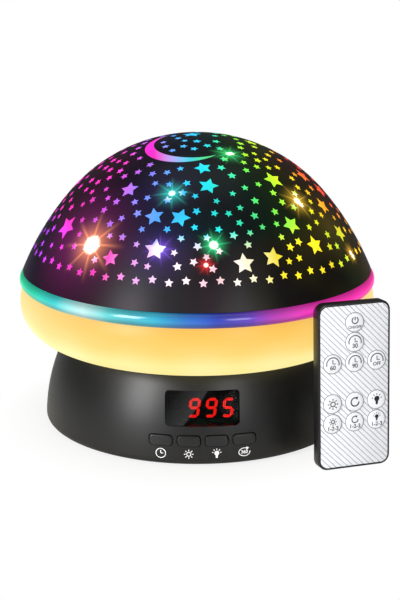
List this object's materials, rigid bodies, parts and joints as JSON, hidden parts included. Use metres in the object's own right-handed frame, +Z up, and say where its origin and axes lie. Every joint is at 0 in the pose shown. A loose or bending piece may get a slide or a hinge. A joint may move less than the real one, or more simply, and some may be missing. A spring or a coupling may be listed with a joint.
{
  "type": "star night light projector",
  "caption": "Dome night light on a tapered base, with a glowing bowl, colour ring, turning star-cut dome, display, push buttons and a card remote leaning beside it.",
  "frame": {"origin": "on the table under the lamp's axis, at the underside of the feet", "axes": "+Z up, the display and buttons face -Y, +X to the viewer's right"},
  "size_m": [0.168, 0.168, 0.1366],
  "materials": {
    "base_black": "fine matte moulded",
    "foot_rubber": "matte",
    "screw_steel": "plain zinc",
    "smoked_window": "polished smoked acrylic",
    "display_black": "dark filled face",
    "segment_red": "lit",
    "segment_dark": "unlit",
    "receiver_dark": "dark tinted",
    "board_green": "solder mask",
    "switch_black": "moulded",
    "jack_steel": "plated",
    "inner_grey": "moulded",
    "inner_black": "moulded",
    "cell_wrap": "shrink film",
    "contact_metal": "nickel plated",
    "gear_white": "acetal",
    "board_white": "white solder mask",
    "led_white": "clear resin",
    "bowl_warm": "frosted, lit warm",
    "ring_clear": "polished clear, lit in colours",
    "dome_black": "satin",
    "liner_frost": "frosted",
    "button_black": "fine matte moulded",
    "remote_black": "satin",
    "remote_white": "printed film",
    "key_white": "printed film"
  },
  "bodies": {
    "base": {"base_housing": "base_black", "battery_cell": "cell_wrap", "battery_contacts": "contact_metal", "battery_cradle": "inner_grey", "bottom_cover": "base_black", "center_post": "inner_grey", "control_board": "board_green", "cover_screws": "screw_steel", "dark_segments": "segment_dark", "deck_screws": "screw_steel", "diffuser_bowl": "bowl_warm", "display_module": "display_black", "inner_deck": "inner_grey", "ir_receiver": "receiver_dark", "lit_segments": "segment_red", "main_board": "board_green", "motor": "jack_steel", "motor_screws": "screw_steel", "power_jack": "jack_steel", "projection_board": "board_white", "projection_leds": "led_white", "rainbow_ring": "ring_clear", "retaining_clip": "jack_steel", "rgb_led_board": "board_white", "rgb_leds": "led_white", "ring_carrier": "inner_black", "rubber_feet": "foot_rubber", "tact_switches": "switch_black", "thrust_washer": "gear_white", "warm_led_board": "board_white", "warm_leds": "led_white", "window_lens": "smoked_window"},
    "turntable": {"turntable": "inner_black"},
    "pinion": {"drive_pinion": "gear_white", "pinion_shaft": "jack_steel"},
    "dome": {"star_dome": "dome_black", "dome_liner": "liner_frost"},
    "remote": {"remote_case": "remote_black", "remote_face": "remote_white", "remote_board": "board_green", "ir_emitter": "receiver_dark"},
    "tray": {"battery_tray": "remote_black", "coin_cell": "contact_metal"},
    "timer_button": {"timer_button": "button_black"},
    "warm_light_button": {"warm_light_button": "button_black"},
    "star_light_button": {"star_light_button": "button_black"},
    "rotation_button": {"rotation_button": "button_black"},
    "key_on_off": {"key_on_off": "key_white"},
    "key_timer_30": {"key_timer_30": "key_white"},
    "key_timer_60": {"key_timer_60": "key_white"},
    "key_timer_off": {"key_timer_off": "key_white"},
    "key_timer_90": {"key_timer_90": "key_white"},
    "key_warm_light": {"key_warm_light": "key_white"},
    "key_rotation": {"key_rotation": "key_white"},
    "key_bulb_light": {"key_bulb_light": "key_white"},
    "key_warm_level": {"key_warm_level": "key_white"},
    "key_rotation_speed": {"key_rotation_speed": "key_white"},
    "key_bulb_level": {"key_bulb_level": "key_white"}
  },
  "joints": [
    {"name": "turntable_spin", "type": "hinge", "parent": "base", "child": "turntable", "pos_m": [0, 0, 0.0722], "axis": [0, 0, 1], "continuous": true},
    {"name": "pinion_spin", "type": "hinge", "parent": "base", "child": "pinion", "pos_m": [0, 0.0225, 0.067], "axis": [0, 0, 1], "continuous": true},
    {"name": "dome_lift", "type": "slide", "parent": "turntable", "child": "dome", "axis": [0, 0, 1], "range_m": [0, 0.06]},
    {"name": "remote_away", "type": "slide", "parent": "base", "child": "remote", "axis": [0.2756, -0.9613, 0], "range_m": [0, 0.06]},
    {"name": "tray_slide", "type": "slide", "parent": "remote", "child": "tray", "axis": [0.0192, -0.0671, -0.9976], "range_m": [0, 0.026]},
    {"name": "timer_button_press", "type": "slide", "parent": "base", "child": "timer_button", "axis": [0, 1, 0], "range_m": [0, 0.0006], "stiffness_N_per_m": 1500, "springref_m": -0.0003},
    {"name": "warm_light_button_press", "type": "slide", "parent": "base", "child": "warm_light_button", "axis": [0, 1, 0], "range_m": [0, 0.0006], "stiffness_N_per_m": 1500, "springref_m": -0.0003},
    {"name": "star_light_button_press", "type": "slide", "parent": "base", "child": "star_light_button", "axis": [0, 1, 0], "range_m": [0, 0.0006], "stiffness_N_per_m": 1500, "springref_m": -0.0003},
    {"name": "rotation_button_press", "type": "slide", "parent": "base", "child": "rotation_button", "axis": [0, 1, 0], "range_m": [0, 0.0006], "stiffness_N_per_m": 1500, "springref_m": -0.0003},
    {"name": "key_on_off_press", "type": "slide", "parent": "remote", "child": "key_on_off", "axis": [-0.275, 0.9589, -0.0698], "range_m": [0, 0.0003], "stiffness_N_per_m": 2500, "springref_m": -0.0002},
    {"name": "key_timer_30_press", "type": "slide", "parent": "remote", "child": "key_timer_30", "axis": [-0.275, 0.9589, -0.0698], "range_m": [0, 0.0003], "stiffness_N_per_m": 2500, "springref_m": -0.0002},
    {"name": "key_timer_60_press", "type": "slide", "parent": "remote", "child": "key_timer_60", "axis": [-0.275, 0.9589, -0.0698], "range_m": [0, 0.0003], "stiffness_N_per_m": 2500, "springref_m": -0.0002},
    {"name": "key_timer_off_press", "type": "slide", "parent": "remote", "child": "key_timer_off", "axis": [-0.275, 0.9589, -0.0698], "range_m": [0, 0.0003], "stiffness_N_per_m": 2500, "springref_m": -0.0002},
    {"name": "key_timer_90_press", "type": "slide", "parent": "remote", "child": "key_timer_90", "axis": [-0.275, 0.9589, -0.0698], "range_m": [0, 0.0003], "stiffness_N_per_m": 2500, "springref_m": -0.0002},
    {"name": "key_warm_light_press", "type": "slide", "parent": "remote", "child": "key_warm_light", "axis": [-0.275, 0.9589, -0.0698], "range_m": [0, 0.0003], "stiffness_N_per_m": 2500, "springref_m": -0.0002},
    {"name": "key_rotation_press", "type": "slide", "parent": "remote", "child": "key_rotation", "axis": [-0.275, 0.9589, -0.0698], "range_m": [0, 0.0003], "stiffness_N_per_m": 2500, "springref_m": -0.0002},
    {"name": "key_bulb_light_press", "type": "slide", "parent": "remote", "child": "key_bulb_light", "axis": [-0.275, 0.9589, -0.0698], "range_m": [0, 0.0003], "stiffness_N_per_m": 2500, "springref_m": -0.0002},
    {"name": "key_warm_level_press", "type": "slide", "parent": "remote", "child": "key_warm_level", "axis": [-0.275, 0.9589, -0.0698], "range_m": [0, 0.0003], "stiffness_N_per_m": 2500, "springref_m": -0.0002},
    {"name": "key_rotation_speed_press", "type": "slide", "parent": "remote", "child": "key_rotation_speed", "axis": [-0.275, 0.9589, -0.0698], "range_m": [0, 0.0003], "stiffness_N_per_m": 2500, "springref_m": -0.0002},
    {"name": "key_bulb_level_press", "type": "slide", "parent": "remote", "child": "key_bulb_level", "axis": [-0.275, 0.9589, -0.0698], "range_m": [0, 0.0003], "stiffness_N_per_m": 2500, "springref_m": -0.0002}
  ],
  "couplings": [
    {"joint": "pinion_spin", "follows": "turntable_spin", "ratio": 4}
  ]
}
